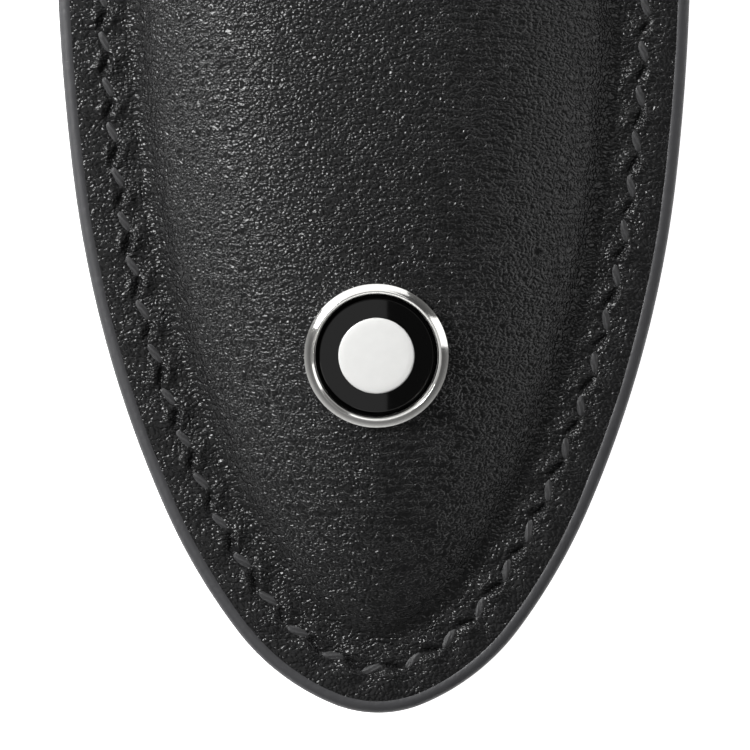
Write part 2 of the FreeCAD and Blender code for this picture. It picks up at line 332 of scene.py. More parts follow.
def newFinish(name, **constants):
    # A material with its tree, its principled shader's sockets and Object coordinates in millimetres.
    made = bpy.data.materials.new(name)
    made.use_nodes = True
    tree = made.node_tree
    shader = tree.nodes["Principled BSDF"].inputs
    for key, value in constants.items():
        shader[key.replace("_", " ")].default_value = value
    place = addNode(tree, "TexCoord").outputs["Object"]
    inMm = addNode(tree, "Mapping", {"Vector": place, "Scale": (1 / mm, 1 / mm, 1 / mm)}).outputs[0]
    return made, tree, shader, inMm


def calc(tree, operation, first, second=0.0, third=0.0):
    return addNode(tree, "Math", {0: first, 1: second, 2: third}, operation=operation).outputs[0]


def ramp(tree, value, low, high, toLow=0.0, toHigh=1.0):
    sockets = {"Value": value, "From Min": low, "From Max": high, "To Min": toLow, "To Max": toHigh}
    return addNode(tree, "MapRange", sockets).outputs[0]


def noise(tree, vector, scale, detail, **more):
    sockets = {"Vector": vector, "Scale": scale, "Detail": detail}
    return addNode(tree, "TexNoise", {**sockets, **more}).outputs["Fac"]


def addBump(tree, shader, height, distance, strength=1.0):  # distance is in metres for a height of 1
    sockets = {"Height": height, "Strength": strength, "Distance": distance}
    bump = addNode(tree, "Bump", sockets).outputs[0]
    feed(tree, shader["Normal"], bump)
    return bump


def blendColours(tree, share, first, second):
    made = tree.nodes.new("ShaderNodeMix")
    made.data_type = "RGBA"
    for key, value in (("Factor", share), ("A", first), ("B", second)):
        feed(tree, [s for s in made.inputs if s.name == key and s.enabled][0], value)
    return [s for s in made.outputs if s.enabled][0]


# Aniline-dyed calf leather, glazed: almost black, with a tight grain of small rounded pebbles that lie in
# short wavy rows. The dye keeps it dark and even, and the glaze gives each pebble one small glint.
glazedCalf = {
    "dark": "#171717",
    "light": "#1e1e1f",
    "pebble": (0.29, 0.21),  # mm across and along the case
    "pebbleReach": 0.75,  # share of the spacing where a pebble's round top ends and the flat skin starts
    "pebbleHeight": 0.18,  # mm at one pebble's width from its middle, falling with the square
    "pressed": 0.35,  # share of the relief that the margin outside the seam has lost
    "pressedIn": (1.6, 2.8),  # inset where the pressing starts to fade and where it ends
    "row": 0.58,
    "wander": 0.6,  # how far the rows are shifted by a slow drift
    "driftScale": 1.1,
    "patch": 1.7,  # size of the areas that are pebbled more or less deeply
    "pore": 0.12,
    "poreHeight": 0.008,
    "roughness": 0.5,
    "glaze": 0.6,
    "glazeRoughness": 0.14,
}


def makeCalf(name, values):
    made, tree, shader, inMm = newFinish(
        name,
        IOR=1.45,
        Specular_IOR_Level=0.02,
        Roughness=values["roughness"],
        Coat_Weight=values["glaze"],
        Coat_Roughness=values["glazeRoughness"],
    )
    drift = addNode(tree, "TexNoise", {"Vector": inMm, "Scale": values["driftScale"], "Detail": 2.0})
    moved = {0: drift.outputs["Color"], 1: (values["wander"],) * 3, 2: inMm}
    swirl = addNode(tree, "VectorMath", moved, operation="MULTIPLY_ADD").outputs[0]
    wide, long = values["pebble"]
    stretched = {"Vector": swirl, "Scale": (1 / wide, 1 / long, 1 / wide)}
    spread = addNode(tree, "Mapping", stretched).outputs[0]
    away = addNode(tree, "TexVoronoi", {"Vector": spread, "Scale": 1.0}, feature="F1").outputs["Distance"]
    waveScale = 2 * math.pi / (20 * values["row"])  # at scale 1 the texture has 20 bands in 2 pi
    waves = {"Vector": swirl, "Scale": waveScale, "Distortion": 6.0, "Detail": 2.0, "Detail Scale": 0.7}
    rows = addNode(tree, "TexWave", waves, bands_direction="Y").outputs["Fac"]
    patches = noise(tree, inMm, 1 / values["patch"], 3.0)
    pores = noise(tree, inMm, 0.7 / values["pore"], 1.5, Roughness=0.6)
    depth = ramp(tree, calc(tree, "MULTIPLY_ADD", rows, 0.5, patches), 0.35, 1.15, 0.35, 1.0)
    inset = addNode(tree, "Attribute", attribute_name="inset").outputs["Fac"]
    fade = ramp(tree, inset, *values["pressedIn"], 1.0, 0.0)
    margin = calc(tree, "MULTIPLY", ramp(tree, inset, 0.1, 0.5), fade)
    depth = calc(tree, "MULTIPLY", depth, ramp(tree, margin, 0.0, 1.0, 1.0, 1 - values["pressed"]))
    top = calc(tree, "SMOOTH_MIN", away, values["pebbleReach"], 0.12)
    grain = calc(tree, "MULTIPLY", calc(tree, "MULTIPLY", top, top), depth)
    grain = calc(tree, "MULTIPLY", grain, -values["pebbleHeight"])
    grain = calc(tree, "MULTIPLY_ADD", pores, values["poreHeight"] * 2, grain)
    feed(tree, shader["Coat Normal"], addBump(tree, shader, grain, mm))
    # Painted shade: the colour darkens from each pebble's top into the low skin between pebbles, and the
    # slow patches add a real uneven tone.
    tone = calc(tree, "MULTIPLY_ADD", patches, 0.7, ramp(tree, away, 0.0, 0.9, 0.35, -0.1))
    patchesAndPebbleShade = blendColours(tree, tone, colour(values["dark"]), colour(values["light"]))
    feed(tree, shader["Base Color"], patchesAndPebbleShade)
    return made


calf = makeCalf("calf_leather_glazed", glazedCalf)

# Lining leather, plated smooth: a matt charcoal with fine pores and hardly any grain.
# The lining takes over the calf's painted shade between the pebbles.
platedLining = dict(glazedCalf, dark="#262627", light="#323234", pebbleHeight=0.04)
platedLining.update(roughness=0.65, glaze=0.08)
liningCalf = makeCalf("lining_leather_plated", platedLining)


def makeEdgePaint():
    # Acrylic edge paint, burnished: a satin film that hides the layers but for the faintest ridges.
    made, tree, shader, inMm = newFinish("edge_paint_burnished", IOR=1.5, Coat_Weight=0.0)
    shader["Base Color"].default_value = colour("#3c3c3e")
    swirl = noise(tree, inMm, 2.2, 3.0)
    feed(tree, shader["Roughness"], ramp(tree, swirl, 0.3, 0.7, 0.42, 0.52))
    addBump(tree, shader, swirl, 0.04 * mm)
    return made


def makeThread():
    # Waxed polyester thread, two plies twisted: soft grey-black with slanted ply lines and fine fibres.
    gloss = {"IOR": 1.45, "Sheen_Weight": 0.15, "Roughness": 0.48}
    made, tree, shader, inMm = newFinish("polyester_thread_waxed", **gloss)
    ply = addNode(tree, "Attribute", attribute_name="ply").outputs["Fac"]
    fine = noise(tree, inMm, 2.2, 2.0)
    turn = calc(tree, "MULTIPLY_ADD", ply, 2 * math.pi, calc(tree, "MULTIPLY", fine, 5.0))
    strands = calc(tree, "SINE", turn)
    fibres = calc(tree, "SINE", calc(tree, "MULTIPLY", turn, 3.0))
    height = calc(tree, "MULTIPLY_ADD", fibres, 0.4, strands)
    addBump(tree, shader, height, 0.012 * mm)
    # Painted shade and highlight: the colour is darker in the ply grooves and lighter on the crests,
    # following the bump's height.
    tone = ramp(tree, height, -1.2, 1.2)
    feed(tree, shader["Base Color"], blendColours(tree, tone, colour("#2a2a2b"), colour("#404041")))
    return made


def makeSteel(name, tone, roughness, haze):
    # Metal, polished, plated or left as stamped: a soft haze in the gloss, its height in mm.
    made, tree, shader, inMm = newFinish(name, Metallic=1.0)
    shader["Base Color"].default_value = colour(tone)
    cloud = noise(tree, inMm, 5.0, 3.0)
    feed(tree, shader["Roughness"], ramp(tree, cloud, 0.3, 0.7, roughness, roughness * 1.6))
    addBump(tree, shader, cloud, haze * mm)
    return made


def makeResin(name, tone, roughness, coat, glow=0.0):
    # Cast acrylic resin, polished: deep even colour under a clear gloss. Glow is a painted glow, a faint
    # white emission that stands in for light scattered inside the resin.
    made, tree, shader, inMm = newFinish(name, IOR=1.49, Coat_Weight=coat, Coat_Roughness=0.03)
    cloud = noise(tree, inMm, 1.5, 2.0)
    feed(tree, shader["Roughness"], ramp(tree, cloud, 0.3, 0.7, roughness, roughness * 1.5))
    bright = [min(1.0, c * 1.08) for c in colour(tone)[:3]] + [1]
    feed(tree, shader["Base Color"], blendColours(tree, cloud, colour(tone), bright))
    shader["Emission Color"].default_value = colour("#ffffff")
    shader["Emission Strength"].default_value = glow
    return made


def makeBoard():
    # Pressed fibre board: matt grey-brown with short fibres.
    made, tree, shader, inMm = newFinish("fibre_board_pressed", Roughness=0.85)
    fibres = noise(tree, inMm, 3.0, 5.0, Distortion=1.5)
    feed(tree, shader["Base Color"], blendColours(tree, fibres, colour("#4d4943"), colour("#6a655c")))
    addBump(tree, shader, fibres, 0.05 * mm, 0.6)
    return made


edgePaint = makeEdgePaint()
thread = makeThread()
polished = makeSteel("stainless_steel_polished", "#e3e2df", 0.09, 0.001)
stamped = makeSteel("steel_strip_stamped", "#a9a7a2", 0.3, 0.004)
plated = makeSteel("neodymium_magnet_nickel_plated", "#c9c4b8", 0.18, 0.002)
blackResin = makeResin("acrylic_resin_black_polished", "#030303", 0.03, 0.0)
# The white inlay gets a faint painted glow.
whiteResin = makeResin("acrylic_resin_white_polished", "#dededc", 0.16, 0.3, 0.05)
board = makeBoard()
print("finishes made")


# The pocket's shells. Paint is the film over the layers' edges, and surface is how the leather lies.
paint = {
    "lap": 0.72,  # how far the film laps over each face
    "film": 0.05,
    "round": 0.62,
    "flatten": 0.8,  # height of a rounded corner, as a share of its width
    "cover": 0.85,  # inset of the linings' edges, hidden under the film
    "joint": 0.05,  # depth of the groove at a joint between layers
    "jointWidth": 0.12,
}
surface = {
    "edgeDrop": 0.16,
    "edgeWidth": 1.1,
    "bodyWave": 0.07,
    "bodyWaveSize": (3.1, 5.3),  # across and along the case
    "marginWave": 0.02,
    "marginWaveSize": (1.3, 1.6),
    "bodyStart": 4.0,  # inset from which the body's waves grow
    "bodyGrow": 8.0,
    "filletStart": 0.6,  # outside the line where the swell starts
    "filletWidth": 2.6,
    "heel": 0.15,  # rounding where the back turns flat
}


def swellZ(level, base, top):
    return base + (top - base) * (1 - level ** case["swellPower"])


def frontZ(x):  # the front's height where its sides are straight
    return swellZ(np.minimum(np.abs(x) / swellHalf, 1), rimTop, crest)


def backZ(level, depth, base):
    # The same power curve going down to depth, with the line where it turns flat rounded off.
    heel = surface["heel"]
    flatLevel = flapHalf / swellHalf
    fall = (base - depth) / (1 - flatLevel ** case["swellPower"])
    over = (base - fall * (1 - level ** case["swellPower"]) - depth) / heel
    return depth + heel * np.log1p(np.exp(np.clip(over, -40, 40)))


def layShell(columns, rows, scooped=False):
    # Rows of inset, level and height, laid round the U from the centre of the hidden side over the rim to
    # the centre of the shown side. The mouth end is closed between the two sides.
    points = []
    insets = []
    for inset, level, height in rows:
        x, s = layRow(columns, inset, level, case["swellCentre"], scooped)
        z = height(x, s, level) if callable(height) else height
        points.append(np.stack([x, s + tipY, np.broadcast_to(z, x.shape)], 1))
        insets.append(insideOf(columns, x, s))
    wide = len(columns["x"])
    grid = np.concatenate(points)
    faces = gridFaces(len(rows), wide)
    turnRow = int(np.argmax(np.abs(grid[::wide, 0])))  # the widest row
    for end in (0, wide - 1):
        hidden = [r * wide + end for r in range(turnRow + 1)]
        shown = [r * wide + end for r in range(len(rows) - 1, turnRow - 1, -1)]
        faces += stripFaces(hidden, shown, np.abs(grid[hidden, 0]), np.abs(grid[shown, 0]))
    return grid, faces, {"inset": np.concatenate(insets)}


def leatherFace(columns, base, swellAt, sign, waves=1.0):
    # Height of a stitched outer face: margin, seam relief, a soft fillet where the swell starts, and slow
    # waves that leather has when it is drawn over a form.
    along = runAt(columns, seam["inset"])

    def height(x, s, level):
        d = insideOf(columns, x, s)
        rise = smooth((d - case["flange"] + surface["filletStart"]) / surface["filletWidth"])
        lift = np.where(level < 1, (swellAt(level) - base) * rise, 0)
        inside = smooth((d - surface["bodyStart"]) / surface["bodyGrow"])
        relief = seamRelief(d, along) - surface["edgeDrop"] * bell(d / surface["edgeWidth"])
        wide, long = surface["bodyWaveSize"]
        relief = relief + waves * inside * surface["bodyWave"] * wobble(x / wide, s / long, 3)
        wide, long = surface["marginWaveSize"]
        relief = relief + surface["marginWave"] * (1 - inside) * wobble(x / wide, s / long, 5)
        return base + lift + sign * relief

    return height


def makeFrontPanel():
    # The hidden side first, then the margin in fine rows over the seam, then the swell in growing rows.
    leather = case["leather"]
    lap = paint["lap"]
    step = case["flange"] + case["stepIn"] * leather
    low = rimTop - leather
    rows = [(step, m, swellZ(m, low, crest - leather)) for m in (0, 0.12, 0.3, 0.5, 0.7, 0.88)]
    rows += [(step, 1.0, low), (lap, 1.0, low)]
    face = leatherFace(fineColumns, rimTop, lambda m: swellZ(m, rimTop, crest), 1)
    margin = np.concatenate([[lap, 0.95, 1.3, 1.7, 2.05], np.arange(2.25, 4.25, 0.115), [4.4, 4.6, 4.8]])
    rows += [(d, 1.0, face) for d in margin]
    steps = np.linspace(0.011, 0.055, 26)
    rows += [(case["flange"], max(m, 0.0), face) for m in 1 - np.cumsum(steps) / np.sum(steps)]
    points, faces, marks = layShell(fineColumns, rows, scooped=True)
    print("front leather:", len(points), "points")
    replaced = ("front_panel",)
    meshPiece("frontPanel", points, faces, calf, "smooth_leather", "pocket", replaced, marks=marks)


def makeBackPanel():
    # Like the front, but it swells downwards, lies flat on z = 0 and is smooth inside the margin.
    leather = case["leather"]
    lap = paint["lap"]
    step = case["flange"] + case["stepIn"] * leather
    high = rimBottom + leather
    rows = [(step, m, backZ(m, leather, high)) for m in (0, 0.3, 0.6, 0.67, 0.74, 0.82, 0.91)]
    rows += [(step, 1.0, high), (lap, 1.0, high)]
    face = leatherFace(evenColumns, rimBottom, lambda m: backZ(m, 0.0, rimBottom), -1, waves=0.0)

    def flatOut(x, s, level):
        return np.maximum(face(x, s, level), 0.0)

    margin = np.concatenate([[lap, 1.0, 1.5, 2.0], np.arange(2.25, 4.2, 0.17), [4.4, 4.8]])
    rows += [(d, 1.0, flatOut) for d in margin]
    slope = [0.985, 0.965, 0.94, 0.91, 0.88, 0.85, 0.81, 0.77, 0.73]
    bottom = [0.7, 0.68, 0.66, 0.63, 0.58, 0.5, 0.38, 0.2, 0]
    rows += [(case["flange"], m, flatOut) for m in slope + bottom]
    points, faces, marks = layShell(evenColumns, rows)
    print("back leather:", len(points), "points")
    replaced = ("back_panel",)
    meshPiece("backPanel", points, faces, calf, "smooth_leather", "pocket", replaced, marks=marks)


def makeLinings():
    # Each lining is a plain shell between its two faces, which run parallel to the leather's.
    deep = case["leather"] + case["board"]
    thin = deep + case["lining"]
    cover = paint["cover"]
    low = case["flange"] + case["stepIn"] * thin
    high = case["flange"] + case["stepIn"] * deep
    base = rimTop - case["leather"]
    levels = [0, 0.15, 0.3, 0.45, 0.6, 0.72, 0.83, 0.92]
    rows = [(low, m, swellZ(m, rimMiddle, crest - thin)) for m in levels] + [(low, 1, rimMiddle)]
    rows += [(cover, 1, rimMiddle), (cover, 1, base), (high, 1, base)]
    rows += [(high, m, swellZ(m, base, crest - deep)) for m in levels[::-1]]
    points, faces, _ = layShell(wideColumns, rows, scooped=True)
    nodes = ("front_lining", "mouth_facing")
    meshPiece("frontLining", points, faces, liningCalf, "lining_leather", "pocket", nodes)
    base = rimBottom + case["leather"]
    levels = [0, 0.3, 0.6, 0.66, 0.72, 0.8, 0.88, 0.95]
    rows = [(high, m, backZ(m, deep, base)) for m in levels] + [(high, 1, base)]
    rows += [(cover, 1, base), (cover, 1, rimMiddle), (low, 1, rimMiddle)]
    rows += [(low, m, backZ(m, thin, rimMiddle)) for m in levels[::-1]]
    points, faces, _ = layShell(wideColumns, rows)
    meshPiece("backLining", points, faces, liningCalf, "lining_leather", "pocket", ("back_lining",))


def sweepRim(name, columns, profile, material, slotName, body):
    # A closed profile of inset and height carried round the outline, with flat ends.
    points = []
    for inset, z in profile:
        x, s = layRow(columns, inset)
        points.append(np.stack([x, s + tipY, np.full_like(x, z)], 1))
    wide = len(columns["x"])
    faces = gridFaces(len(profile), wide, closed=True)
    faces += [[r * wide + end for r in range(len(profile))] for end in (0, wide - 1)]
    meshPiece(name, np.concatenate(points), faces, material, slotName, body)


def makeEdge():
    # Paint film over the four layers' edges: laps a little over each face and rounds the corners off with
    # flattened quarter circles. Each joint between layers has a faint groove. The bottom mirrors the top.
    r = paint["round"]
    rise = paint["flatten"] * r
    lap = paint["lap"]
    top = rimTop - surface["edgeDrop"] * math.exp(-((lap / surface["edgeWidth"]) ** 2))
    profile = [(lap + 0.25, top - 0.35), (lap + 0.2, top - 0.03), (lap + 0.08, top + 0.03)]
    for turn in np.linspace(0, 90, 9):
        t = math.radians(turn)
        profile.append((r - r * math.sin(t), top + paint["film"] - rise * (1 - math.cos(t))))
    corner = profile[-1][1]
    upper = profile[::-1]
    joints = [rimTop - case["leather"], rimMiddle, rimBottom + case["leather"]]
    for z in np.linspace(corner, 2 * rimMiddle - corner, 15)[1:-1]:
        groove = sum(paint["joint"] * math.exp(-(((z - j) / paint["jointWidth"]) ** 2)) for j in joints)
        profile.append((0.02 + groove, float(z)))
    profile += [(d, 2 * rimMiddle - z) for d, z in upper]
    sweepRim("paintedEdge", evenColumns, profile, edgePaint, "smooth_leather", "pocket")


makeFrontPanel()
makeBackPanel()
makeLinings()
makeEdge()
print("pocket made")


stitch = {
    "length": 2.6,
    "width": 0.62,
    "height": 0.27,
    "turn": 12.0,  # degrees from the seam
    "sink": 0.12,  # how far its axis lies under the leather's face
    "dive": 0.40,  # how much deeper its ends lie
    "endWidth": 0.30,  # share of the full width that its ends keep
    "lobe": 0.10,
    "twist": 2.2,  # turn of the plies from the middle to an end, in radians
    "bend": 0.06,
    "vary": 0.04,  # how much the lengths differ, as a share
    "rings": 9,
    "around": 8,
}


def sewThreads(name, centres, forward, outward, replaced, body):
    # Each stitch is a lens: its width is the root of one less t squared along it, its ends dive into the
    # leather with t to the fourth, and its section is an oval of two plies that turns along it.
    turn = math.radians(stitch["turn"])
    centres, forward, outward = (np.asarray(v, float) for v in (centres, forward, outward))
    sideways = np.cross(outward, forward)
    ahead = forward * math.cos(turn) + sideways * math.sin(turn)
    across = np.cross(outward, ahead)
    t = np.linspace(-1, 1, stitch["rings"])
    angle = -np.pi / 2 + np.linspace(0, 2 * np.pi, stitch["around"], endpoint=False)
    number = np.arange(len(centres))
    share = stitch["endWidth"] + (1 - stitch["endWidth"]) * np.sqrt(1 - 0.98 * t**2)
    lobes = 1 + stitch["lobe"] * np.cos(2 * (angle[None, :] - stitch["twist"] * t[:, None]))
    sideOut = share[:, None] * stitch["width"] / 2 * np.cos(angle)[None, :] * lobes
    upOut = share[:, None] * stitch["height"] / 2 * np.sin(angle)[None, :] * lobes
    upOut = upOut - stitch["dive"] * t[:, None] ** 4
    length = stitch["length"] / 2 * (1 + stitch["vary"] * np.sin(number * 7.13))
    curve = stitch["bend"] * np.sin(np.pi * t)
    points = (
        centres[:, None, None, :]
        + (ahead * length[:, None])[:, None, None, :] * t[None, :, None, None]
        + across[:, None, None, :] * (sideOut + curve[:, None])[None, :, :, None]
        + outward[:, None, None, :] * upOut[None, :, :, None]
    )
    rings = len(t)
    around = len(angle)
    each = rings * around
    r, c = np.meshgrid(np.arange(rings - 1), np.arange(around), indexing="ij")
    here = r * around + c
    beside = r * around + (c + 1) % around
    quad = np.stack([here, beside, beside + around, here + around], -1).reshape(-1, 4)
    faces = (quad[None] + (number * each)[:, None, None]).reshape(-1, 4).tolist()
    faces += [list(range(k * each, k * each + around)) for k in number]
    faces += [list(range(k * each + each - around, (k + 1) * each)) for k in number]
    ply = (t[:, None] * 0.9 + angle[None, :] / (2 * np.pi) * 5)[None] + number[:, None, None] * 0.37
    marks = {"ply": ply.reshape(-1)}
    points = points.reshape(-1, 3)
    meshPiece(name, points, faces, thread, "sewing_thread", body, replaced, sharp=0, marks=marks)


def seamStations():  # every stitch's run along the seam, from the beat's whole numbers
    run = np.linspace(runAt(evenColumns, seam["inset"])[0], runAt(evenColumns, seam["inset"])[-1], 8001)
    beat = seamBeat(run)
    wanted = np.arange(math.ceil(beat[0] + 0.35), math.floor(beat[-1] - 0.35) + 1)
    return np.interp(wanted, beat, run)


def onSeam(columns, run, inset):  # plan position and direction of the seam at each run along it
    x, s = layRow(columns, inset)
    along = runAt(columns, inset)
    heading = np.interp(run, along, columns["head"] * columns["side"])
    forward = np.stack([np.cos(heading), np.sin(heading)], 1)
    return np.interp(run, along, x), np.interp(run, along, s), forward


def sewRim():
    run = seamStations()
    x, s, forward = onSeam(evenColumns, run, seam["inset"])
    ones = np.ones_like(x)
    forward = np.column_stack([forward, 0 * ones])
    for name, z, out, node in (
        ("frontSeam", rimTop - stitch["sink"], 1, "seam_stitches_front"),
        ("backSeam", rimBottom + stitch["sink"], -1, "seam_stitches_back"),
    ):
        centres = np.column_stack([x, s + tipY, z * ones])
        sewThreads(name, centres, forward, np.outer(ones, (0, 0, out)), (node,), "pocket")
    print("stitches along the rim:", len(run))


sewRim()


badge = {
    "fromTip": 25.5,
    "radius": 5.09,
    "stand": 0.7,  # height of the ring over the leather
    "sink": 0.25,
    "wall": 0.72,
    "flank": 0.36,  # height where the ring's outer bevel starts
    "disc": 4.33,
    "discHeight": 0.4,
    "dome": 0.13,
    "grooveIn": 0.31,  # a fine groove runs round the disc, this far inside its edge
    "inlay": 2.7,
    "inlayDepth": 0.15,
}


def badgeFrame():  # centre and normal of the front where the badge sits
    reach = case["swellCentre"] - case["flange"]
    level = (case["swellCentre"] - badge["fromTip"]) / reach
    z = swellZ(level, rimTop, crest)
    slope = (crest - rimTop) * case["swellPower"] * level ** (case["swellPower"] - 1) / reach
    normal = np.array([0, -slope, 1]) / math.hypot(slope, 1)
    return np.array([0, badge["fromTip"] + tipY, z]), normal


def turned(name, profile, material, slotName, node):
    # A profile of radius and height turned about the badge's axis, where both its ends lie.
    around = 160
    centre, normal = badgeFrame()
    right = np.array([1, 0, 0])
    ahead = np.cross(normal, right)
    angle = np.linspace(0, 2 * np.pi, around + 1)
    r, h = np.array(profile).T
    circle = np.cos(angle)[None, :, None] * right + np.sin(angle)[None, :, None] * ahead
    points = (centre + r[:, None, None] * circle + h[:, None, None] * normal).reshape(-1, 3)
    faces = gridFaces(len(profile), around + 1)
    meshPiece(name, points, faces, material, slotName, "pocket", (node,), sharp=35)


def bowed(r0, h0, r1, h1, bulge, count):  # points between two profile points on a bowed line
    t = np.linspace(0, 1, count)
    bow = bulge * np.sin(np.pi * t)
    length = math.hypot(r1 - r0, h1 - h0)
    nr, nh = (h1 - h0) / length, -(r1 - r0) / length
    return [(r0 + (r1 - r0) * k + nr * b, h0 + (h1 - h0) * k + nh * b) for k, b in zip(t, bow)]


def makeBezel():  # a ring with a closed foot: outer bevel, narrow crest, inner bevel and wall
    out = badge["radius"]
    top = badge["stand"]
    low = 0.01 - badge["sink"]
    inner = out - badge["wall"]
    profile = [(0.0, low), (out - 0.02, low), (out, low + 0.04)]
    profile += bowed(out, badge["flank"], inner + 0.26, top - 0.02, 0.012, 9)
    profile += bowed(inner + 0.245, top - 0.008, inner + 0.205, top - 0.012, 0.004, 4)
    profile += bowed(inner + 0.19, top - 0.03, inner + 0.02, top - 0.19, 0.006, 6)
    profile += [(inner + 0.005, top - 0.24), (inner, 0.02), (inner - 0.02, 0.0), (0.0, 0.0)]
    turned("badgeBezel", profile, polished, "polished_steel", "emblem_bezel")


def makeDisc():  # a low dome with a groove round it and a recess, whose floor's height it returns
    disc = badge["disc"]
    dome = badge["dome"]
    edge = badge["discHeight"] - dome * 0.6
    groove = disc - badge["grooveIn"]
    radii = np.linspace(groove - 0.05, badge["inlay"] + 0.02, 14)
    cap = [(r, edge + dome * (1 - (r / disc) ** 2)) for r in radii]
    seat = cap[-1][1] - badge["inlayDepth"]
    profile = [(0.0, 0.001), (disc - 0.03, 0.001), (disc, 0.03), (disc, edge - 0.16)]
    profile += [(disc - 0.03, edge - 0.11), (groove + 0.15, edge - 0.25), (groove, edge - 0.02)] + cap
    profile += [(badge["inlay"], seat), (0.0, seat)]
    turned("badgeDisc", profile, blackResin, "black_resin", "emblem_disc")
    return seat


def makeInlay(seat):  # fills the recess with a rounded edge and a slight dome
    r = badge["inlay"] - 0.01
    top = seat + badge["inlayDepth"] + 0.02
    profile = [(0.0, seat + 0.001), (r, seat + 0.001), (r, top - 0.07)]
    profile += [(r - 0.04, top - 0.02), (r - 0.13, top + 0.012)]
    profile += [(q, top + 0.012 + 0.05 * (1 - (q / r) ** 2)) for q in (2.2, 1.6, 1.0, 0.5, 0.0)]
    turned("badgeInlay", profile, whiteResin, "white_resin", "emblem_inlay")


makeBezel()
makeInlay(makeDisc())
print("badge made")


# The spine and its folds. Heights of the sheets' faces are measured over the line that a fold turns about.
fold = {
    "inner": 0.2,
    "joint": 0.6,  # where the lining meets the leather
    "outer": 1.8,
    "riseOver": 0.9,  # length over which the lining steps up
    "turn": math.pi / 2,  # length of the quarter turn, at a radius of 1 mm
    "seamHeight": 10.0,  # where the spine's two halves meet
    "spineRun": 1.0,  # length of path that stands for all of the spine's upper half
}
flap = {
    "flatten": 20.0,  # length over which the flap is drawn out level before its fold
    "centre": 14.0,  # from the flap's tip to the point that its inner rows shrink towards
    "seamInset": 2.4,
    "groove": 0.10,
    "grooveWidth": 0.35,
    "boardSide": 4.0,  # distances of the board from the leather's sides, its tip and its fold
    "boardTip": 16.0,
    "boardFold": 1.5,
    "boardFaces": (0.95, 0.62),
    "seamEnd": 2.2,  # the stitches stop this far before the fold
}
foldCentre = foldOut - fold["outer"]
turnEnd = foldCentre + fold["turn"]
flapLift = case["flapGap"] - fold["inner"]


def foldedPoint(path, height, surfaceZ, sign):
    # Section of a fold: path runs level up to the fold's centre, then a quarter turn, then upright. Height
    # is measured outwards from the line that the path follows.
    turn = np.clip(path - foldCentre, 0, fold["turn"])
    rest = np.maximum(path - turnEnd, 0)
    s = np.where(path < foldCentre, path, foldCentre + height * np.sin(turn))
    z = surfaceZ + sign * (height * np.cos(turn) - rest)
    return s, z


def closedSheet(name, outer, inner, material, slotName, joined=False, **more):
    # A closed sheet between two grids of points of one shape. Joined says that the last row meets itself.
    rows, columns = outer.shape[:2]
    count = rows * columns
    faces = gridFaces(rows, columns) + gridFaces(rows, columns, count)
    top = list(range(columns))
    bottom = [(rows - 1) * columns + c for c in range(columns)]
    left = [r * columns for r in range(rows)]
    right = [r * columns + columns - 1 for r in range(rows)]
    for line in (top, left, right) if joined else (top, bottom, left, right):
        faces += [[a, b, b + count, a + count] for a, b in zip(line[:-1], line[1:])]
    points = np.concatenate([outer.reshape(-1, 3), inner.reshape(-1, 3)])
    return meshPiece(name, points, faces, material, slotName, **more)


def thinAtEdge(fromEdge, thickness):  # share of the thickness left near a rounded border
    t = np.clip(fromEdge / (thickness / 2), 0, 1)
    return np.sqrt(np.maximum(1 - (1 - t) ** 2, 0))


def makeBackFold():
    # Tongue, fold and lower half of the spine: x is a sine across, so that the borders are finely stepped,
    # and the path follows the fold. The lining steps up over the pocket's board.
    x = flapHalf * np.sin(np.linspace(-np.pi / 2, np.pi / 2, 61))
    level = np.linspace(mouth, foldCentre, 5)[:-1]
    turn = np.linspace(foldCentre, turnEnd, 17)
    upright = np.linspace(turnEnd, turnEnd + fold["seamHeight"] - fold["outer"], 22)[1:]
    X, P = np.meshgrid(x, np.concatenate([level, turn, upright]))
    for name, low, high, rise, material, slotName in (
        ("backFoldLeather", fold["joint"], fold["outer"], 0.0, calf, "smooth_leather"),
        ("backFoldLining", fold["inner"], fold["joint"], case["board"], liningCalf, "lining_leather"),
    ):
        reach = (high - low) / 2 * thinAtEdge(flapHalf - np.abs(X), high - low)
        sheets = []
        for side in (1, -1):
            s, z = foldedPoint(P, (low + high) / 2 + side * reach, fold["outer"], -1)
            z = z + rise * smooth((foldCentre - P) / fold["riseOver"])
            sheets.append(np.stack([X, s + tipY, z], 2))
        piece = closedSheet(name, *sheets, material, slotName)
        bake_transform(piece)


def flapBase(x, path):  # the front's swell, drawn out level towards the fold, because a fold is straight
    share = smooth((path - foldCentre) / flap["flatten"] + 1)
    return frontZ(x) + (crest - frontZ(x)) * share + flapLift


def flapColumns():
    return outline(turnEnd + fold["spineRun"], stepping(70, 0.4, 0.5), flapHalf / half, flapTip)


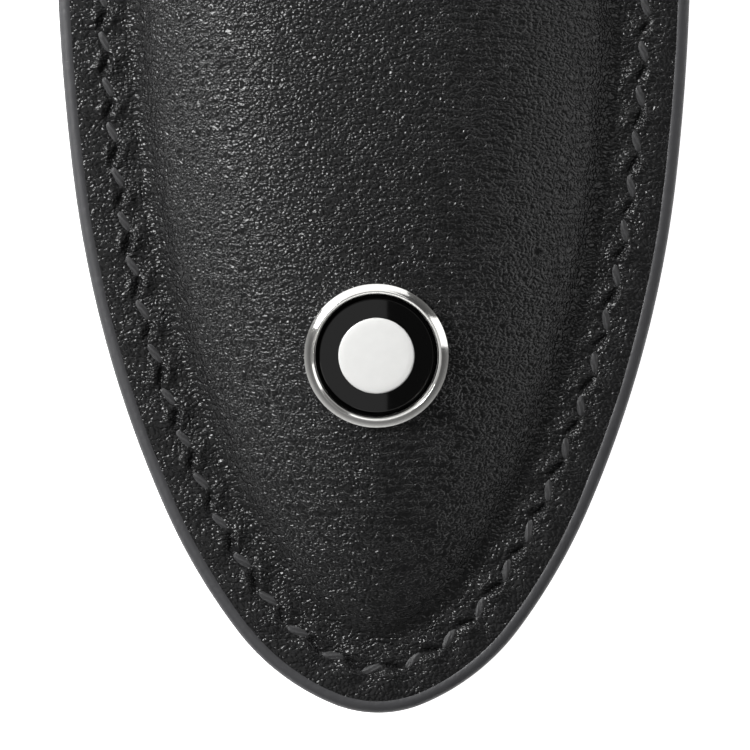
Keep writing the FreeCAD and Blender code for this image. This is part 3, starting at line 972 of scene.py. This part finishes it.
def makeFlap():
    # Upper half of the spine, fold and flap. The flap's layers follow the front's swell a fixed gap above
    # it, and their borders are half circles. The leather has a groove along its seam.
    columns = flapColumns()
    corner = case["leather"] / 2 * (1 - np.cos(np.linspace(0, np.pi / 2, 9)))
    insets = np.concatenate([corner, [0.75, 1.0, 1.4, 1.8, 2.1, 2.3, 2.45, 2.6, 2.8, 3.1]])
    rows = [(d, 1.0) for d in insets]
    rows += [(insets[-1], m) for m in (0.9, 0.8, 0.68, 0.55, 0.42, 0.3, 0.2, 0.1, 0.0)]
    leather = ("flapLeather", fold["joint"], fold["outer"], flap["groove"], calf, "smooth_leather")
    lining = ("flapLining", fold["inner"], fold["joint"], 0.0, liningCalf, "lining_leather")
    replaced = (("flap_leather", "spine_leather"), ("flap_lining", "spine_lining"))
    for (name, low, high, groove, material, slotName), nodes in zip((leather, lining), replaced):
        sheets = []
        for side in (1, -1):
            layers = []
            for inset, level in rows:
                x, path = layRow(columns, inset, level, flapTip + flap["centre"])
                keep = thinAtEdge(inset, high - low) if level == 1 else 1.0
                height = (low + high) / 2 + side * (high - low) / 2 * keep
                if side == 1 and level == 1:
                    across = insideOf(columns, x, path) - flap["seamInset"]
                    height = height - groove * bell(across / flap["grooveWidth"])
                surfaceZ = flapBase(x, path)
                s, z = foldedPoint(path, height, surfaceZ, 1)
                upright = np.clip((path - turnEnd) / fold["spineRun"], 0, 1)
                z = np.where(path > turnEnd, surfaceZ + (fold["seamHeight"] - surfaceZ) * upright, z)
                layers.append(np.stack([x, s + tipY, z], 1))
            sheets.append(np.stack(layers))
        piece = closedSheet(name, *sheets, material, slotName, joined=True)
        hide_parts(*nodes)
        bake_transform(piece)


def makeStiffener():
    # The board in the flap: a flat grid in plan inside the leather, two faces a fixed height over flapBase.
    x = np.linspace(flap["boardSide"] - flapHalf, flapHalf - flap["boardSide"], 25)
    path = np.linspace(flapTip + flap["boardTip"], foldCentre - flap["boardFold"], 30)
    X, P = np.meshgrid(x, path)
    sheets = [np.stack([X, P + tipY, flapBase(X, P) + height], 2) for height in flap["boardFaces"]]
    replaced = ("flap_stiffener",)
    closedSheet("flapStiffener", *sheets, board, "interlining_board", body="flap", replaced=replaced)


def sewFlap():
    # Stitches at even runs along the flap's border, tilted with its surface.
    run = (np.arange(-26, 26) + 0.5) * seam["pitch"]
    x, s, forward = onSeam(flapColumns(), run, flap["seamInset"])
    onFlap = s < foldCentre - flap["seamEnd"]
    x, s, forward = x[onFlap], s[onFlap], forward[onFlap]
    step = 0.05
    slopeX = (flapBase(x + step, s) - flapBase(x - step, s)) / (2 * step)
    slopeS = (flapBase(x, s + step) - flapBase(x, s - step)) / (2 * step)
    outward = np.column_stack([-slopeX, -slopeS, np.ones_like(x)])
    outward = outward / np.linalg.norm(outward, axis=1)[:, None]
    forward = np.column_stack([forward, forward[:, 0] * slopeX + forward[:, 1] * slopeS])
    forward = forward / np.linalg.norm(forward, axis=1)[:, None]
    centres = np.column_stack([x, s + tipY, flapBase(x, s) + fold["outer"] - stitch["sink"]])
    sewThreads("flapSeam", centres, forward, outward, ("flap_stitches",), "flap")


makeBackFold()
makeFlap()
makeStiffener()
sewFlap()
print("flap and spine made")


# Construction pieces that stay, each with its own finish.
kept = {
    "back_interlining": board,
    "front_interlining": board,
    "catch_magnet": plated,
    "flap_magnet": plated,
    "emblem_washer": stamped,
    "mouth_stitches": thread,
    "spine_stitches": thread,
}
for nodeName, finish in kept.items():
    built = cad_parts[nodeName]
    for place in range(len(built.material_slots)):
        built.material_slots[place].material = finish
    if not built.material_slots:
        built.data.materials.append(finish)
print("kept pieces finished")


studio = {
    "view": 53.57,  # mm across
    "lens": 400.0,
    "sensor": 36.0,
    "aim": (-0.105, 24.11, 10.0),  # x, distance from the tip, z
    "roll": 0.38,
    "floorReach": 3000.0,
    "floorDrop": 0.2,
    "floorGlow": 1.05,
    "zenith": 0.07,
    "horizonPower": 5.0,
    "horizonWay": (-0.75, 0.66),  # the horizon is brightest this way
    "horizonFar": 0.4,
    "horizonNear": 1.2,
}
lamps = {  # centre, point aimed at, width, height and how bright the face looks
    "key": ((-360, 160, 330), (-6, -30, 15), 200, 200, 27),
    "top": ((-110, 410, 300), (0, -50, 15), 900, 240, 1.3),
    "overhead": ((-285, -120, 640), (-285, -120, 0), 600, 900, 0.5),
    "right": ((520, 60, 260), (0, -20, 10), 260, 500, 1.4),
}


def makeCamera():
    data = bpy.data.cameras.new("camera")
    data.lens = studio["lens"]
    data.sensor_width = studio["sensor"]
    data.clip_end = 20
    away = studio["view"] * mm * studio["lens"] / studio["sensor"]
    x, s, z = studio["aim"]
    made = bpy.data.objects.new("camera", data)
    made.location = (x * mm, (s + tipY) * mm, z * mm + away)
    made.rotation_euler = (0, 0, math.radians(-studio["roll"]))
    bpy.context.scene.collection.objects.link(made)
    bpy.context.scene.camera = made


def addLamp(name, centre, aim, width, height, radiance):  # a rectangular softbox
    data = bpy.data.lights.new(name, "AREA")
    data.shape = "RECTANGLE"
    data.size = width * mm
    data.size_y = height * mm
    data.energy = radiance * math.pi * width * height * mm * mm
    made = bpy.data.objects.new(name, data)
    made.location = np.array(centre) * mm
    direction = (np.array(aim) - np.array(centre)) * mm
    made.rotation_euler = Vector(direction).to_track_quat("-Z", "Y").to_euler()
    made.visible_camera = False
    bpy.context.scene.collection.objects.link(made)


def makeFloor():  # opal acrylic, lit from below like a light table
    reach = studio["floorReach"] * mm
    mesh = bpy.data.meshes.new("floor")
    corners = [(-reach, -reach, 0), (reach, -reach, 0), (reach, reach, 0), (-reach, reach, 0)]
    mesh.from_pydata(corners, [], [(0, 1, 2, 3)])
    floor = bpy.data.objects.new("floor", mesh)
    floor.location = (0, 0, -studio["floorDrop"] * mm)
    bpy.context.scene.collection.objects.link(floor)
    made, _, shader, _ = newFinish("opal_acrylic_lit", Roughness=0.6)
    shader["Base Color"].default_value = colour("#f4f4f4")
    shader["Emission Color"].default_value = colour("#ffffff")
    shader["Emission Strength"].default_value = studio["floorGlow"]
    mesh.materials.append(made)


def makeWorld():  # dark overhead and bright at the horizon, more so to one side
    world = bpy.data.worlds.new("studio")
    world.use_nodes = True
    bpy.context.scene.world = world
    tree = world.node_tree
    background = tree.nodes["Background"]
    direction = addNode(tree, "TexCoord").outputs["Generated"]
    parts = addNode(tree, "SeparateXYZ", {0: direction}).outputs
    low = ramp(tree, parts[2], 0.0, 1.0, 1.0, 0.0)
    glow = calc(tree, "POWER", low, studio["horizonPower"])
    wayX, wayY = studio["horizonWay"]
    toward = calc(tree, "MULTIPLY_ADD", parts[0], wayX, calc(tree, "MULTIPLY", parts[1], wayY))
    share = ramp(tree, toward, -1.0, 1.0, studio["horizonFar"], studio["horizonNear"])
    background.inputs["Color"].default_value = (1, 1, 1, 1)
    feed(tree, background.inputs["Strength"], calc(tree, "MULTIPLY_ADD", glow, share, studio["zenith"]))


makeCamera()
makeFloor()
makeWorld()
for lampName, lamp in lamps.items():
    addLamp(lampName, *lamp)
bpy.context.scene.view_settings.view_transform = "Standard"
print("studio made")
